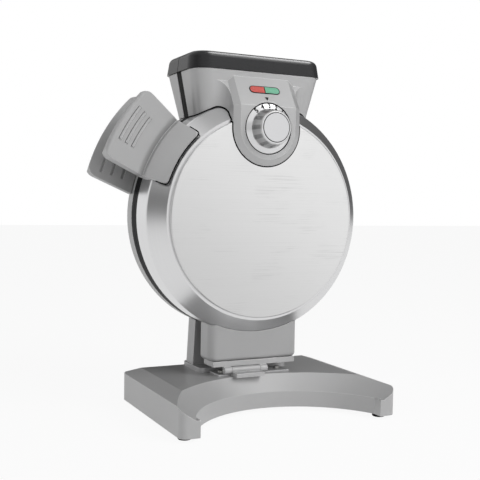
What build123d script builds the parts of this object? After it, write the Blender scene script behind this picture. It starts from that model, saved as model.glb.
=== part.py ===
from build123d import *
import math
import os

# Vertical waffle maker: a fixed stand, a front half that tilts forward, and a dial.
# Sizes are in millimetres. X points right, Y points back, Z points up.
# The origin is on the table, below the shell axis, in the plane where the halves part.

# Cooking plates, which set the size of the round shells
cavity_radius = 86.0
cavity_draft = 2.5
cavity_depth = 13.0
plate_rim = 8.0
plate_floor = 4.0
peg_pitch = 20.0
peg_base = 12.5
peg_top_depth = 3.2
peg_taper = 10.0
divider_width = 2.4

# Round shells
wall = 2.6
fit = 0.25
half_gap = 0.3
shadow_gap = 0.7
neck_rise = 42.0
ledge_width = 4.0
ledge_depth = 10.0
ring_width = 20.0
ring_depth = 7.6
spigot_depth = 14.0
front_wall_depth = 36.0
rim_round = 4.5
bezel_width = 15.0
bezel_depth = 52.0
disc_margin = 2.9
disc_lap = 8.1
disc_face_depth = 55.9
disc_sheet = 1.0
disc_edge_round = 1.6
rear_wall_depth = 24.0
rear_shoulder_width = 17.0
rear_shoulder_depth = 43.0
rear_depth = 50.5
rear_wall_round = 12.0
rear_shoulder_round = 25.0
rear_dome_round = 300.0

# Heaters and reflectors behind the cooking plates
heater_inset = 28.0
heater_tube_radius = 3.3
heater_arc = 300.0
heater_pin_length = 9.0
heater_pin_radius = 2.2
heater_pin_inset = 3.3
reflector_gap = 2.0
reflector_flange = 8.0
reflector_depth = 30.0
sheet = 1.0
reflector_screw_count = 6
fuse_length = 22.0
fuse_radius = 3.0

# Hopper, chute and rim
hopper_rise = 27.2
hopper_half_width = 71.6
hopper_half_depth = 42.9
hopper_width_slope = 0.2
hopper_depth_slope = 0.19
hopper_corner = 17.0
strip_front = 5.0
strip_back = 7.5
strip_recess = 0.6
throat_half_width = 21.0
throat_half_depth = 6.2
chute_wall = 2.0
chute_flange = 2.0
chute_flange_drop = 6.0
chute_mouth_half_width = 58.0
chute_mouth_half_depth = 31.0
chute_lap = 6.0
rim_height = 17.4
rim_half_width = 73.7
rim_half_depth = 43.5
rim_draft = 2.2
rim_corner = 18.0
rim_top_round = 6.5
rim_lip = 7.5
rim_funnel = 4.5

# Control pod, lights and dial
dial_drop = 30.0
pod_radius = 36.8
pod_face_radius = 30.4
pod_back_depth = 36.6
pod_bevel_depth = 56.4
pod_face_depth = 60.0
pod_crease_rise = 22.2
pod_lean = 31.5
pod_fillet = 12.0
pod_slot_gap = 0.8
pod_cavity_back = 15.0
window_length = 33.0
window_height = 8.0
window_rise = 38.7
lens_flange = 1.5
lens_flange_thickness = 1.2
lens_proud = 0.5
board_distance = 9.5
board_length = 46.0
board_height = 11.0
board_thickness = 1.6
board_post_x = 20.6
board_post_radius = 1.9
lamp_radius = 2.5
buzzer_radius = 4.8
buzzer_height = 4.0
dial_recess_radius = 25.6
dial_recess = 2.0
dial_pad = 2.6
skirt_radius = 24.7
skirt_edge = 1.0
grip_radius = 19.4
grip_tip_radius = 16.6
grip_foot_depth = 62.0
knob_depth = 76.6
knob_face_radius = 13.9
knob_face_recess = 0.9
flute_count = 12
flute_radius = 2.5
flute_circle = 20.2
shaft_radius = 3.0
running_gap = 0.05
bush_radius = 4.4
nut_radius = 7.0
nut_thickness = 1.8
thermostat_radius = 13.0
thermostat_length = 13.0

# Handle wings
handle_direction = 147.2
handle_lap = 11.5
handle_crease_reach = 9.5
handle_reach = 55.5
handle_root_half_width = 30.5
handle_tip_upper_half_width = 34.8
handle_tip_lower_half_width = 41.2
handle_crease_depth = 35.6
handle_tip_depth = 49.5
handle_tip_thickness = 19.0
handle_tip_rake = 3.0
handle_tip_round = 3.0
handle_back_depth = 21.0
handle_step = 1.7
valley_width = 5.5
flange_thickness = 3.2
handle_corner = 11.0
flange_corner = 5.0
front_web = 5.2
rear_handle_direction = 148.5
rear_handle_reach = 48.0
rear_handle_root_half_width = 41.5
rear_handle_tip_half_width = 48.5
rear_handle_root_depth = 13.0
rear_handle_tip_depth = 20.5
rear_handle_thickness = 12.5
rear_web = 7.8
front_rib_place = 0.635
front_rib_pitch = 7.5
front_rib_from = 141.6
front_rib_to = 154.0
rear_rib_place = 0.5
rear_rib_pitch = 10.8
rear_rib_from = 141.0
rear_rib_to = 163.6
rib_width = 2.4
rib_height = 0.7
groove_width = 0.5
groove_depth = 0.5
rear_slot_depth = 1.3
latch_inset = 11.0
latch_width = 12.0
latch_height = 6.0
latch_reach = 6.0
latch_root = 9.0
latch_clearance = 1.8
latch_spring_thickness = 0.8

# Base, feet and column
base_half_width = 114.5
base_rear = 43.5
leg_tip = 124.0
leg_width = 18.5
base_bottom_z = 4.0
base_corner = 8.0
side_top_z = 31.5
deck_z = 37.0
deck_half_width = 97.0
deck_rear = 33.5
arc_radius = 105.0
arc_centre_y = -155.5
arc_top_z = 20.0
crease_radius = 140.0
crease_centre_y = -182.0
plate_z = 5.0
plate_thickness = 2.0
foot_front_shift = 0.45
foot_front_setback = 16.0
foot_rear_inset = 16.5
foot_rear_setback = 19.5
foot_round = 1.2
boss_radius = 4.5
screw_radius = 1.6
screw_head_radius = 3.2
screw_head = 1.8
screw_grip = 6.0
screw_gap = 0.06
screw_edge = 7.8
column_half_width = 46.0
column_foot_half_width = 48.6
column_waist_z = 90.0
column_front = 10.0
column_foot_rear = 33.4
column_knee_rear = 30.5
column_knee_z = 46.0
column_top_rear = 26.6
column_corner = 7.0
column_floor = 4.5
plinth_half_width = 50.6
plinth_front = -14.0
plinth_corner = 6.0
cable_hole_radius = 8.0
cable_hole_y = 20.4
gland_inset = 52.5
gland_z = 18.0
gland_radius = 6.0
gland_flange_radius = 8.0
gland_flange = 1.8
gland_length = 9.0
gland_bore = 3.2
terminal_length = 36.0
terminal_width = 16.0
terminal_height = 14.0
terminal_setback = 35.5
vent_count = 7
vent_pitch = 12.0
vent_width = 4.0
vent_length = 22.0
vent_y = -6.0

# Neck and hinge
neck_half_width = 50.0
neck_front = 38.6
neck_back = 7.2
neck_corner = 9.0
neck_bottom_round = 4.0
neck_floor = 3.9
knuckle_radius = 3.6
pin_radius = 1.8
hinge_y = -38.0
hinge_sheet = 1.6
leaf_sheet = 5.4
swing_gap = 0.4
knuckle_gap = 0.5
door_knuckle = 8.0
bracket_half_width = 40.0
leaf_half_width = 46.0
tab_left = -26.0
tab_right = 5.0
tab_reach = 13.0
tab_height = 4.0
bracket_rear = -16.0
leaf_rear = -14.0
hinge_screw_x = 32.0
hinge_screw_y = -25.0

# Radii that follow from the cavity
ledge_radius = cavity_radius + plate_rim
ring_inner_radius = ledge_radius + ledge_width
shell_radius = ring_inner_radius + ring_width
bezel_radius = shell_radius - bezel_width
disc_radius = bezel_radius - disc_margin
disc_seat_radius = disc_radius - disc_lap
rear_shoulder_radius = shell_radius - rear_shoulder_width
heater_radius = cavity_radius - heater_inset
reflector_radius = ring_inner_radius - reflector_gap
reflector_flange_radius = reflector_radius + reflector_flange
reflector_screw_circle = reflector_radius + reflector_flange / 2
latch_radius = shell_radius - latch_inset
handle_inner_radius = shell_radius - handle_lap
handle_crease_radius = shell_radius + handle_crease_reach
handle_tip_radius = shell_radius + handle_reach
rear_handle_tip_radius = shell_radius + rear_handle_reach
front_rib_radius = handle_crease_radius + front_rib_place * (handle_tip_radius - handle_crease_radius)
rear_rib_radius = shell_radius + rear_rib_place * rear_handle_reach

# Heights that follow from the deck
hinge_z = deck_z + hinge_sheet + swing_gap + knuckle_radius
leaf_z = hinge_z + knuckle_radius + swing_gap
neck_z = leaf_z + leaf_sheet
shell_centre_z = deck_z + neck_rise + shell_radius
shell_top_z = shell_centre_z + shell_radius
dial_centre_z = shell_top_z - dial_drop
pod_crease_z = dial_centre_z + pod_crease_rise
window_z = dial_centre_z + window_rise
hopper_low_z = dial_centre_z
hopper_top_z = shell_top_z + hopper_rise
chute_flange_top_z = hopper_top_z - chute_flange_drop
chute_low_z = shell_top_z - chute_lap
far = 400.0
over = 1.0

nodes = {}


# Shapes used by several pieces

def block(x_from, x_to, y_from, y_to, z_from, z_to):
    """A block between two opposite corners."""
    centre = Pos((x_from + x_to) / 2, (y_from + y_to) / 2, (z_from + z_to) / 2)
    return centre * Box(x_to - x_from, y_to - y_from, z_to - z_from)


def post(x, y, radius, z_from, z_to):
    """A round bar that stands upright."""
    return Pos(x, y, (z_from + z_to) / 2) * Cylinder(radius, z_to - z_from)


def rod(x, z, radius, y_from, y_to):
    """A round bar that runs from front to back."""
    return Pos(x, (y_from + y_to) / 2, z) * Rot(90, 0, 0) * Cylinder(radius, y_to - y_from)


def axle(y, z, radius, x_from, x_to):
    """A round bar that runs from left to right."""
    return Pos((x_from + x_to) / 2, y, z) * Rot(0, 90, 0) * Cylinder(radius, x_to - x_from)


def turned(points, height=shell_centre_z, rounds=()):
    """A solid turned about an axis that runs from front to back, from (radius, depth) points."""
    face = make_face(Polyline(*points, close=True))
    for radius, depth, rounding in rounds:
        corner = face.vertices().sort_by_distance((radius, depth, 0))[0]
        face = fillet(corner, rounding)
    return Pos(0, 0, height) * revolve(face, Axis.Y)


def round_form(half, rounds, grow):
    """A closed round form about the shell axis, grown or shrunk by an even distance."""
    other = [(-radius, depth) for radius, depth in reversed(half) if radius > 0]
    face = make_face(Polyline(*half, *other, close=True))
    for radius, depth, rounding in rounds:
        corners = [
            corner for corner in face.vertices()
            if abs(abs(corner.X) - radius) < fit and abs(corner.Y - depth) < fit
        ]
        face = fillet(corners, rounding)
    if grow:
        face = offset(face, grow, kind=Kind.INTERSECTION)
    right_side = Pos(far, 0) * Rectangle(2 * far, 2 * far)
    return Pos(0, 0, shell_centre_z) * revolve(face & right_side, Axis.Y)


def front_form(grow=0.0):
    """The outside of the front shell, with the wall, the rim corner and the sloping bezel."""
    half = [
        (0, 0),
        (shell_radius, 0),
        (shell_radius, -front_wall_depth),
        (bezel_radius, -bezel_depth),
        (0, -bezel_depth),
    ]
    return round_form(half, [(shell_radius, -front_wall_depth, rim_round)], grow)


def rear_form(grow=0.0):
    """The outside of the rear shell, with the wall, the shoulder and the shallow dome."""
    half = [
        (0, 0),
        (shell_radius, 0),
        (shell_radius, rear_wall_depth),
        (rear_shoulder_radius, rear_shoulder_depth),
        (0, rear_depth),
    ]
    rounds = [
        (shell_radius, rear_wall_depth, rear_wall_round),
        (rear_shoulder_radius, rear_shoulder_depth, rear_shoulder_round),
        (0, rear_depth, rear_dome_round),
    ]
    return round_form(half, rounds, grow)


def front_side(solid, start=half_gap):
    """The part of a solid that lies in front of the parting plane."""
    return solid & block(-far, far, -far, -start, -far, far)


def rear_side(solid, start=half_gap):
    """The part of a solid that lies behind the parting plane."""
    return solid & block(-far, far, start, far, -far, far)


def at_angle(solid, angle):
    """Turns a solid about the shell axis, from the right-hand side upwards."""
    return Pos(0, 0, shell_centre_z) * Rot(0, -angle, 0) * Pos(0, 0, -shell_centre_z) * solid


def screw_down(x, y, head_z, length):
    """A screw with its head below and its shank pointing up."""
    head = post(x, y, screw_head_radius, head_z - screw_head, head_z)
    return head + post(x, y, screw_radius, head_z, head_z + length)


def to_rear(solid):
    """The same piece on the other side of the parting plane."""
    return mirror(solid, about=Plane.XZ)


# Control pod

def pod_outline(radius):
    """The U shape of the pod, round about the dial and open upwards."""
    top = hopper_top_z + over - dial_centre_z
    return Circle(radius) + Pos(0, top / 2) * Rectangle(2 * radius, top)


def pod_plane(depth):
    """A plane that faces forward at a given depth, centred on the dial."""
    return Plane(origin=(0, -depth, dial_centre_z), x_dir=(1, 0, 0), z_dir=(0, -1, 0))


def pod_form(inset, back):
    """The outside of the pod: straight sides and a bevelled face whose upper part leans back."""
    lean = math.radians(pod_lean)
    foot_radius_here = pod_radius - inset
    face_radius_here = pod_face_radius - inset
    foot = pod_outline(foot_radius_here)
    face = pod_outline(face_radius_here)
    bevel_depth = pod_bevel_depth - inset / 2
    face_depth = pod_face_depth - inset
    crease_z = pod_crease_z - inset * math.tan(lean / 2)
    upright = extrude(pod_plane(back) * foot, bevel_depth - back)
    upright += loft([pod_plane(bevel_depth) * foot, pod_plane(face_depth) * face], ruled=True)
    mitre = math.tan(lean / 2)
    below = extrude(make_face(Plane.YZ * Polyline(
        (-far, crease_z + (far - face_depth) * mitre),
        (0, crease_z - face_depth * mitre),
        (0, -far),
        (-far, -far),
        close=True,
    )), far, both=True)
    leaning_plane = Plane(
        origin=(0, -face_depth, crease_z), x_dir=(1, 0, 0), z_dir=(0, math.sin(lean), math.cos(lean))
    )
    drop = face_depth - bevel_depth
    profile = make_face(leaning_plane * Polyline(
        (-face_radius_here, 0),
        (face_radius_here, 0),
        (foot_radius_here, drop),
        (foot_radius_here, face_depth),
        (-foot_radius_here, face_depth),
        (-foot_radius_here, drop),
        close=True,
    ))
    leaning = extrude(profile, 2 * face_depth, both=True) - below
    leaning &= block(-far, far, -far, -back, -far, hopper_top_z + over)
    return (upright & below) + leaning


def pod_fillet_fill(side):
    """The hollow corner between the pod's flank and the hopper's front."""
    direction = (0, -hopper_depth_slope, 1)
    front_at_dial = hopper_half_depth - (hopper_top_z - dial_centre_z) * hopper_depth_slope
    plane = Plane(
        origin=(side * pod_radius, -front_at_dial, dial_centre_z), x_dir=(1, 0, 0), z_dir=direction
    )
    half = pod_fillet / 2
    corner = Pos(side * half, -half) * Rectangle(pod_fillet, pod_fillet)
    corner -= Pos(side * pod_fillet, -pod_fillet) * Circle(pod_fillet)
    fill = extrude(plane * corner, hopper_top_z - dial_centre_z)
    lean = math.radians(pod_lean)
    crease_z = pod_crease_z - (pod_face_depth - pod_bevel_depth) * math.tan(lean / 2)
    room = make_face(Plane.YZ * Polyline(
        (0, -far),
        (-pod_bevel_depth, -far),
        (-pod_bevel_depth, crease_z),
        (0, crease_z + pod_bevel_depth / math.tan(lean)),
        close=True,
    ))
    return fill & extrude(room, far, both=True)


# Hopper

def hopper_section(z, inset):
    """A level section of the tapering hopper."""
    drop = hopper_top_z - z
    half_width = hopper_half_width - drop * hopper_width_slope - inset
    half_depth = hopper_half_depth - drop * hopper_depth_slope - inset
    return Pos(0, 0, z) * RectangleRounded(2 * half_width, 2 * half_depth, hopper_corner - inset)


def hopper_form(inset, z_from, z_to):
    """The tapering hopper, both halves in one, between two heights."""
    return loft([hopper_section(z_from, inset), hopper_section(z_to, inset)], ruled=True)


# Front shell and disc

pod_slot = pod_form(-pod_slot_gap, pod_back_depth - fit)
front_shell = front_form() - front_form(-wall)
front_shell = front_side(front_shell, ring_depth)
front_shell -= rod(0, shell_centre_z, disc_seat_radius, -bezel_depth - over, -bezel_depth + 2 * wall)
front_shell -= pod_slot
nodes["front_shell"] = front_shell

disc = turned([
    (0, -disc_face_depth),
    (disc_radius, -disc_face_depth),
    (disc_radius, -bezel_depth),
    (disc_radius - disc_sheet, -bezel_depth),
    (disc_radius - disc_sheet, -disc_face_depth + disc_sheet),
    (0, -disc_face_depth + disc_sheet),
], rounds=[
    (disc_radius, -disc_face_depth, disc_edge_round),
    (disc_radius - disc_sheet, -disc_face_depth + disc_sheet, disc_edge_round - disc_sheet),
])
nodes["front_disc"] = disc - pod_slot

# Rear shell
rear_shell = rear_side(rear_form() - rear_form(-wall), ring_depth)
nodes["rear_shell"] = rear_shell

# Black ring frames, one on each half, each notched for the batter
notch = block(
    -throat_half_width, throat_half_width, -throat_half_depth, throat_half_depth,
    shell_centre_z + cavity_radius - 2 * wall, shell_centre_z + shell_radius + over,
)
spigot_radius = shell_radius - wall - fit
frame = turned([
    (ring_inner_radius, -half_gap),
    (shell_radius, -half_gap),
    (shell_radius, -ring_depth),
    (spigot_radius, -ring_depth),
    (spigot_radius, -spigot_depth),
    (ledge_radius, -spigot_depth),
    (ledge_radius, -ledge_depth),
    (ring_inner_radius, -ledge_depth),
])
frame -= notch

# Screws that hold the reflector to the frame
reflector_face = spigot_depth + sheet
reflector_screws = []
for index in range(reflector_screw_count):
    angle = math.radians(360 / reflector_screw_count * (index + 0.5))
    x = reflector_screw_circle * math.cos(angle)
    z = shell_centre_z + reflector_screw_circle * math.sin(angle)
    shank = rod(x, z, screw_radius, -reflector_face, -ledge_depth + over)
    head = rod(x, z, screw_head_radius, -reflector_face - screw_head, -reflector_face)
    reflector_screws.append(head + shank)
    frame -= rod(x, z, screw_radius + screw_gap, -spigot_depth - over, -ledge_depth + over + fit)


# Latch between the two frames
def latch_block(grow, y_from, y_to):
    """The latch tongue's block, or the pocket around it."""
    solid = block(
        latch_radius - latch_height / 2 - grow, latch_radius + latch_height / 2 + grow,
        y_from, y_to,
        shell_centre_z - latch_width / 2 - grow, shell_centre_z + latch_width / 2 + grow,
    )
    return at_angle(solid, handle_direction)


tongue = latch_block(0, -latch_root, latch_reach)
front_frame = frame - latch_block(fit / 2, -latch_root, over)
rear_frame = to_rear(frame) - latch_block(latch_clearance, -over, latch_root)
spring = latch_block(latch_clearance, latch_root - latch_spring_thickness, latch_root)
nodes["front_frame"] = front_frame
nodes["rear_frame"] = rear_frame
nodes["latch_tongue"] = tongue
nodes["latch_spring"] = spring

# Cooking plates with their pegs, dividers and batter notch
plate_radius = ring_inner_radius - fit
plate_boss_radius = ledge_radius - fit
plate_back_depth = cavity_depth + plate_floor
plate = turned([
    (0, -cavity_depth),
    (cavity_radius, -cavity_depth),
    (cavity_radius + cavity_draft, -half_gap),
    (plate_radius, -half_gap),
    (plate_radius, -ledge_depth + fit),
    (plate_boss_radius, -ledge_depth + fit),
    (plate_boss_radius, -plate_back_depth),
    (0, -plate_back_depth),
])
peg_height = cavity_depth - peg_top_depth
peg_reach = cavity_radius - peg_base * math.sqrt(0.5)
peg_rows = 2 * int(cavity_radius / peg_pitch)
pegs = []
for column in range(peg_rows):
    for row in range(peg_rows):
        x = (column - (peg_rows - 1) / 2) * peg_pitch
        z = (row - (peg_rows - 1) / 2) * peg_pitch
        if math.hypot(x, z) > peg_reach:
            continue
        peg_plane = Plane(
            origin=(x, -cavity_depth, shell_centre_z + z), x_dir=(1, 0, 0), z_dir=(0, 1, 0)
        )
        pegs.append(extrude(peg_plane * Rectangle(peg_base, peg_base), peg_height, taper=peg_taper))
divider_half = divider_width / 2
dividers = block(
    -divider_half, divider_half, -cavity_depth, -peg_top_depth,
    shell_centre_z - cavity_radius, shell_centre_z + cavity_radius,
)
dividers += block(
    -cavity_radius, cavity_radius, -cavity_depth, -peg_top_depth,
    shell_centre_z - divider_half, shell_centre_z + divider_half,
)
plate = plate + pegs + dividers - notch
nodes["front_cooking_plate"] = plate
nodes["rear_cooking_plate"] = to_rear(plate)

# Heaters, each an open ring with two pins that point away from the plate
heater_depth = plate_back_depth + heater_tube_radius + fit / 2
ring_start = 270 + (360 - heater_arc) / 2
heater = revolve(
    Pos(heater_radius, -heater_depth) * Circle(heater_tube_radius), Axis.Y, revolution_arc=heater_arc
)
heater = Pos(0, 0, shell_centre_z) * Rot(0, -ring_start - heater_arc, 0) * heater
reflector_holes = []
pin_turn = math.degrees(heater_pin_inset / heater_radius)
for angle in (ring_start + pin_turn, ring_start + heater_arc - pin_turn):
    x = heater_radius * math.cos(math.radians(angle))
    z = shell_centre_z + heater_radius * math.sin(math.radians(angle))
    heater += rod(x, z, heater_pin_radius, -heater_depth - heater_pin_length, -heater_depth)
    reflector_holes.append(rod(
        x, z, heater_pin_radius + 2 * fit, -reflector_depth - over, -reflector_depth + sheet + over
    ))
nodes["front_heater"] = heater
nodes["rear_heater"] = to_rear(heater)

# Reflectors, pans of thin steel behind the heaters
reflector = turned([
    (0, -reflector_depth),
    (reflector_radius, -reflector_depth),
    (reflector_radius, -reflector_face),
    (reflector_flange_radius, -reflector_face),
    (reflector_flange_radius, -spigot_depth),
    (reflector_radius - sheet, -spigot_depth),
    (reflector_radius - sheet, -reflector_depth + sheet),
    (0, -reflector_depth + sheet),
])
for index in range(reflector_screw_count):
    angle = math.radians(360 / reflector_screw_count * (index + 0.5))
    x = reflector_screw_circle * math.cos(angle)
    z = shell_centre_z + reflector_screw_circle * math.sin(angle)
    reflector -= rod(x, z, screw_radius + screw_gap, -reflector_face - over, -spigot_depth + over)
for hole in reflector_holes:
    reflector -= hole
nodes["front_reflector"] = reflector
nodes["rear_reflector"] = to_rear(reflector)
nodes["front_reflector_screws"] = Compound(children=reflector_screws)
nodes["rear_reflector_screws"] = Compound(children=[to_rear(screw) for screw in reflector_screws])

# Thermal fuse, clipped to the back of the rear reflector
fuse = axle(
    reflector_depth + fuse_radius, shell_centre_z, fuse_radius, -fuse_length / 2, fuse_length / 2
)
nodes["thermal_fuse"] = fuse

# Hopper halves
hopper = hopper_form(0, hopper_low_z, hopper_top_z)
hopper_inner = hopper_form(wall, hopper_low_z - over, hopper_top_z + over)
rear_hopper = rear_side(hopper - hopper_inner, strip_back) - rear_form(shadow_gap)
nodes["rear_hopper"] = rear_hopper

# Control housing: the front hopper half and the pod in one moulding
pod = pod_form(0, pod_back_depth) & block(-far, far, -far, 0, -far, hopper_top_z)
housing = front_side(hopper, strip_front) + [pod_fillet_fill(-1), pod_fillet_fill(1)]
housing = housing - front_form(shadow_gap) + pod
housing = housing - hopper_inner - pod_form(wall, pod_cavity_back)
recess_depth = pod_face_depth - dial_recess
pad_depth = recess_depth - dial_pad
pad_radius = pod_face_radius - wall
housing += rod(0, dial_centre_z, pad_radius, -pod_face_depth + wall, -pad_depth)
housing -= rod(0, dial_centre_z, dial_recess_radius, -pod_face_depth - over, -recess_depth)
housing -= rod(0, dial_centre_z, bush_radius + running_gap, -recess_depth - over, -pad_depth + over)

lean = math.radians(pod_lean)
window_depth = pod_face_depth - (window_z - pod_crease_z) * math.tan(lean)
window_plane = Plane(
    origin=(0, -window_depth, window_z), x_dir=(1, 0, 0), z_dir=(0, -math.cos(lean), math.sin(lean))
)


def on_window(sketch, start, end):
    """A prism on the leaning face, between two distances along its outward direction."""
    return extrude(window_plane.offset(start) * sketch, end - start)


housing -= on_window(SlotOverall(window_length, window_height), -2 * wall, over)
for side in (-1, 1):
    place = Pos(side * board_post_x, 0)
    housing += on_window(place * Circle(board_post_radius), -board_distance, -wall + over / 2)
nodes["control_housing"] = housing

# Lenses, each half of the rounded window with a flange behind the wall
lens = on_window(SlotOverall(window_length - 2 * fit, window_height - 2 * fit), -wall - over / 2, lens_proud)
lens += on_window(
    RectangleRounded(window_length + 2 * lens_flange, window_height + 2 * lens_flange, 2 * lens_flange),
    -wall - lens_flange_thickness, -wall,
)
nodes["red_lens"] = lens & block(-far, -fit / 2, -far, far, -far, far)
nodes["green_lens"] = lens & block(fit / 2, far, -far, far, -far, far)

# Indicator board with its lamps and buzzer
board_back = -board_distance - board_thickness
nodes["indicator_board"] = on_window(Rectangle(board_length, board_height), board_back, -board_distance)
lamps = []
for side in (-1, 1):
    place = Pos(side * window_length / 4, 0)
    lamp_top = -wall - lens_flange_thickness - over
    lamps.append(on_window(place * Circle(lamp_radius), -board_distance, lamp_top))
nodes["indicator_lamps"] = Compound(children=lamps)
nodes["buzzer"] = on_window(Circle(buzzer_radius), board_back - buzzer_height, board_back)

# Thermostat behind the dial, held by a nut in the dial recess
bore = shaft_radius + running_gap
thermostat = rod(0, dial_centre_z, thermostat_radius, -pad_depth, -pad_depth + thermostat_length)
bush_end = recess_depth + nut_thickness + over
thermostat += rod(0, dial_centre_z, bush_radius, -bush_end, -pad_depth)
thermostat -= rod(0, dial_centre_z, bore, -bush_end - over, -pad_depth + thermostat_length / 2)
nodes["thermostat"] = thermostat
nut = extrude(pod_plane(recess_depth) * RegularPolygon(nut_radius, 6), nut_thickness)
nodes["thermostat_nut"] = nut - rod(0, dial_centre_z, bush_radius + screw_gap, -far, 0)

# Dial: skirt, fluted grip, face and shaft
skirt_depth = recess_depth + half_gap + fit
hollow_depth = bush_end + over
hollow_radius = nut_radius + over
knob = turned([
    (shaft_radius, -hollow_depth),
    (hollow_radius, -hollow_depth),
    (hollow_radius, -skirt_depth),
    (skirt_radius, -skirt_depth),
    (skirt_radius, -skirt_depth - skirt_edge),
    (grip_radius, -grip_foot_depth),
    (grip_tip_radius, -knob_depth + over),
    (grip_tip_radius - over, -knob_depth),
    (knob_face_radius + fit, -knob_depth),
    (knob_face_radius + fit, -knob_depth + knob_face_recess),
    (shaft_radius, -knob_depth + knob_face_recess),
], dial_centre_z)
for index in range(flute_count):
    angle = math.radians(360 / flute_count * index)
    x = flute_circle * math.cos(angle)
    z = dial_centre_z + flute_circle * math.sin(angle)
    knob -= rod(x, z, flute_radius, -knob_depth - over, -grip_foot_depth)
nodes["dial_knob"] = knob
face_proud = fit
nodes["knob_face"] = rod(
    0, dial_centre_z, knob_face_radius, -knob_depth - face_proud, -knob_depth + knob_face_recess
)
nodes["dial_shaft"] = rod(
    0, dial_centre_z, shaft_radius, -knob_depth + knob_face_recess, -pad_depth + thermostat_length / 3
)

# Black chute liners that lead the batter to the notch, with the strip seen at the parting
flange_low_z = chute_flange_top_z - chute_flange
liner = hopper_form(wall + fit, flange_low_z, chute_flange_top_z)


def chute_funnel(inset, z_from, z_to):
    """The funnel inside the hopper, or the space in it."""
    low = Pos(0, 0, z_from) * Rectangle(
        2 * (throat_half_width + chute_wall - inset), 2 * (throat_half_depth + chute_wall - inset)
    )
    high = Pos(0, 0, z_to) * Rectangle(
        2 * (chute_mouth_half_width - inset), 2 * (chute_mouth_half_depth - inset)
    )
    return loft([low, high], ruled=True)


liner += chute_funnel(0, chute_low_z, flange_low_z)
strip = hopper_form(strip_recess, hopper_low_z, hopper_top_z) - hopper_inner
strip += hopper_form(strip_recess, flange_low_z, chute_flange_top_z)
strip = strip & block(-far, far, -strip_front + fit, strip_back - fit, -far, far)
liner += strip
liner -= chute_funnel(chute_wall, chute_low_z, chute_flange_top_z + fit)
nodes["front_chute"] = front_side(liner) - front_form(fit)
nodes["rear_chute"] = rear_side(liner) - rear_form(fit)

# Black rim of the hopper mouth
rim_z = hopper_top_z + fit
rim_top_z = rim_z + rim_height


def rim_section(z, inset, corner):
    """A level section of the rim."""
    width = 2 * (rim_half_width - inset)
    depth = 2 * (rim_half_depth - inset)
    return Pos(0, 0, z) * RectangleRounded(width, depth, corner)


rim = loft([rim_section(rim_z, 0, rim_corner), rim_section(rim_top_z, rim_draft, rim_corner)], ruled=True)
rim = fillet(rim.faces().sort_by(Axis.Z)[-1].edges(), rim_top_round)
rim += hopper_form(wall + fit, chute_flange_top_z + fit, rim_z)
mouth_corner = rim_corner - rim_lip
mouth_low = rim_section(chute_flange_top_z - over, rim_draft + rim_lip + rim_funnel, mouth_corner)
mouth_high = rim_section(rim_top_z + over, rim_draft + rim_lip, mouth_corner)
rim -= loft([mouth_low, mouth_high], ruled=True)
nodes["front_rim"] = front_side(rim)
nodes["rear_rim"] = rear_side(rim)


# Handle wings

def wing_outline(radii, root_half, tip_halves, root_corner, inset, angle):
    """A wing seen from the front: straight sides between two arcs about the shell axis."""
    root_radius, tip_radius = radii
    start = root_radius - root_half
    end = tip_radius + wall
    corners = []
    for side, tip_half in zip((-1, 1), tip_halves):
        spread = (tip_half - root_half) / (tip_radius - root_radius)
        at_start = side * (root_half - inset + (start - root_radius) * spread)
        at_end = side * (root_half - inset + (end - root_radius) * spread)
        corners.append([(start, at_start), (end, at_end)])
    sides = make_face(Polyline(*corners[0], *reversed(corners[1]), close=True))
    face = (sides & Circle(tip_radius - inset)) - Circle(root_radius)
    ordered = face.vertices().sort_by(lambda corner: math.hypot(corner.X, corner.Y))
    face = fillet(ordered[-2:], handle_corner - inset)
    roots = face.vertices().sort_by(lambda corner: math.hypot(corner.X, corner.Y))[:2]
    if root_corner:
        face = fillet(roots, root_corner)
    return Rot(0, 0, angle) * face


def wing_prism(outline, y_from, y_to):
    """A wing outline made deep from front to back."""
    plane = Plane(origin=(0, y_to, shell_centre_z), x_dir=(1, 0, 0), z_dir=(0, -1, 0))
    return extrude(plane * outline, y_to - y_from)


def grip_arc(radius, depth, width, height, arc_from, arc_to):
    """A bar across a wing, an arc about the shell axis with its middle at the given depth."""
    arc = arc_to - arc_from
    bar = revolve(Pos(radius, depth) * Rectangle(width, height), Axis.Y, revolution_arc=arc)
    return Pos(0, 0, shell_centre_z) * Rot(0, -arc_to, 0) * bar


wing_slope = (handle_tip_depth - handle_crease_depth) / (handle_tip_radius - handle_crease_radius)
bezel_slope = (bezel_depth - front_wall_depth) / (shell_radius - bezel_radius)
flange_depth = front_wall_depth + (shell_radius - handle_inner_radius) * bezel_slope + flange_thickness
front_wing = turned([
    (handle_inner_radius, -flange_depth),
    (handle_crease_radius - handle_step, -handle_crease_depth - handle_step),
    (handle_crease_radius, -handle_crease_depth + handle_step / 2),
    (handle_crease_radius + valley_width, -handle_crease_depth - valley_width * wing_slope),
    (handle_tip_radius, -handle_tip_depth),
    (handle_tip_radius - handle_tip_rake, -handle_tip_depth + handle_tip_thickness),
    (handle_crease_radius + wall, -handle_back_depth),
    (handle_inner_radius, -handle_back_depth),
], rounds=[(handle_tip_radius, -handle_tip_depth, handle_tip_round)])
front_radii = (handle_inner_radius, handle_tip_radius)
front_tips = (handle_tip_upper_half_width, handle_tip_lower_half_width)
front_outline = wing_outline(
    front_radii, handle_root_half_width, front_tips, flange_corner, 0, handle_direction
)
hollow_outline = wing_outline(front_radii, handle_root_half_width, front_tips, 0, wall, handle_direction)
front_wing = front_wing & wing_prism(front_outline, -far, 0)
hollow_radius_from = handle_crease_radius + front_web
hollow_front = handle_crease_depth + (hollow_radius_from - handle_crease_radius) * wing_slope - wall
hollow_tip = hollow_front + (handle_tip_radius - wall - hollow_radius_from) * wing_slope
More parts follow.
